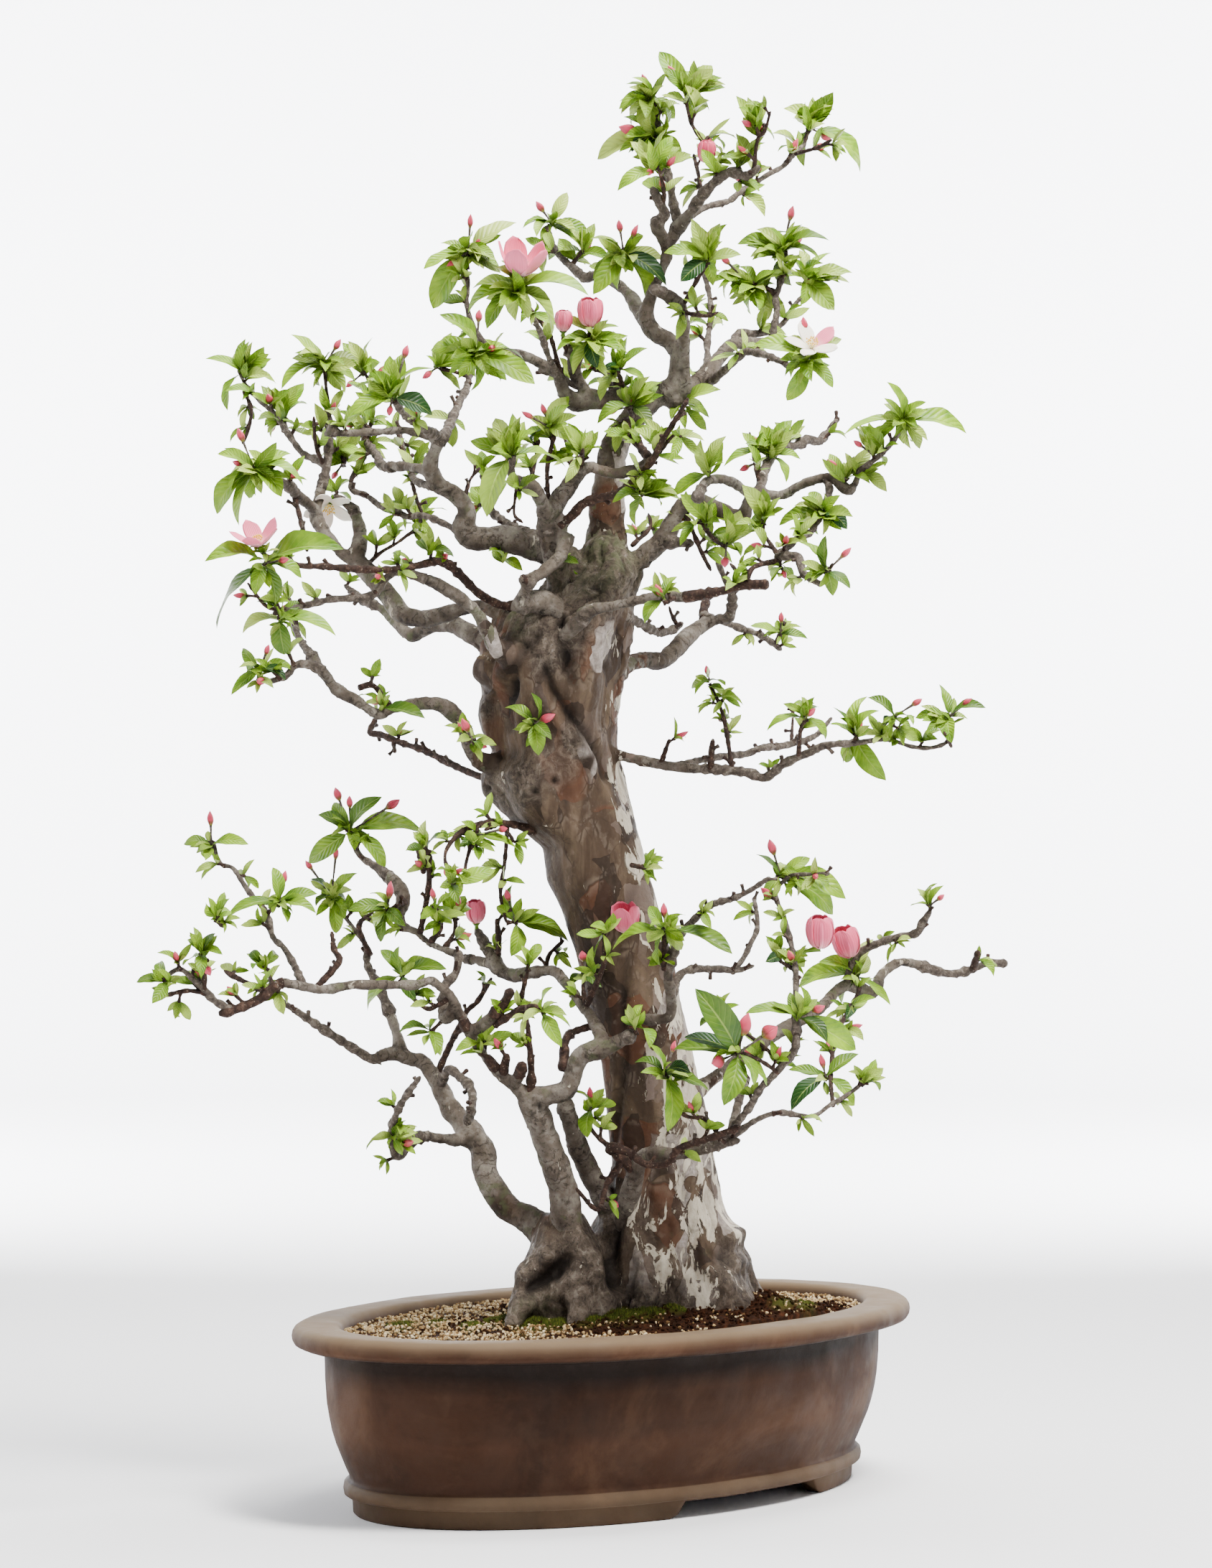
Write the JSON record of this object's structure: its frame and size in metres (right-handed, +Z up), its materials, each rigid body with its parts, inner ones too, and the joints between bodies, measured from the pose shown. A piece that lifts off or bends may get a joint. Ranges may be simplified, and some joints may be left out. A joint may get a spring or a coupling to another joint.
{
  "type": "bonsai tree in a pot",
  "caption": "Old flowering quince bonsai with a twisted, fluted trunk, leafy sprays and pink buds, grown in an oval, unglazed clay pot with a rounded lip.",
  "frame": {"origin": "bottom centre of the whole, on the plane that the pot's foot rests on", "axes": "+Z up, the front of the tree towards -Y, the right of the front view towards +X"},
  "size_m": [0.6426, 0.5104, 1.0732],
  "materials": {
    "pot": "unglazed and weathered",
    "soil": "gravel, peat and moss",
    "bark": "flaking bark",
    "leaf": "satin leaf",
    "petal_pink": "soft petal",
    "petal_white": "soft petal"
  },
  "bodies": {
    "root": {"pot": "pot", "soil": "soil", "tree_wood": "bark", "bloom_top": "petal_pink", "bloom_left_crown": "petal_pink", "bloom_crown_small": "petal_pink", "bloom_crown_mid": "petal_pink", "bloom_west": "petal_pink", "bloom_right_tulip": "petal_pink", "bloom_right_back": "petal_pink", "bloom_trunk": "petal_pink", "bloom_low_left": "petal_pink", "bloom_right_pale": "petal_white", "bloom_west_pale": "petal_white", "spray_top_left": "leaf", "spray_top": "leaf", "spray_top_low": "leaf", "spray_top_right": "leaf", "spray_high_mid": "leaf", "spray_bloom_left": "leaf", "spray_left_peak": "leaf", "spray_left_crown": "leaf", "spray_crown_bloom": "leaf", "spray_crown_right": "leaf", "spray_crown_far": "leaf", "spray_crown_mid": "leaf", "spray_crown_back": "leaf", "spray_bloom_right": "leaf", "spray_west_top": "leaf", "spray_west_mid": "leaf", "spray_west_peak": "leaf", "spray_west_low": "leaf", "spray_west_bloom": "leaf", "spray_far_left": "leaf", "spray_heart": "leaf", "spray_fork_left": "leaf", "spray_fork_back": "leaf", "spray_fork_right": "leaf", "spray_east_mid": "leaf", "spray_east": "leaf", "spray_east_peak": "leaf", "spray_east_low": "leaf", "spray_low_right": "leaf", "spray_right_far": "leaf", "spray_right_tip": "leaf", "spray_left_rise": "leaf", "spray_left_end": "leaf", "spray_left_mass": "leaf", "spray_left_low": "leaf", "spray_left_inner": "leaf", "spray_near_trunk": "leaf", "spray_left_knot": "leaf", "spray_right_rise": "leaf", "spray_right_mid": "leaf", "spray_right_heart": "leaf", "spray_trunk_right": "leaf", "spray_low_buds": "leaf", "spray_foot_right": "leaf", "spray_foot_twig": "leaf"}
  },
  "joints": []
}
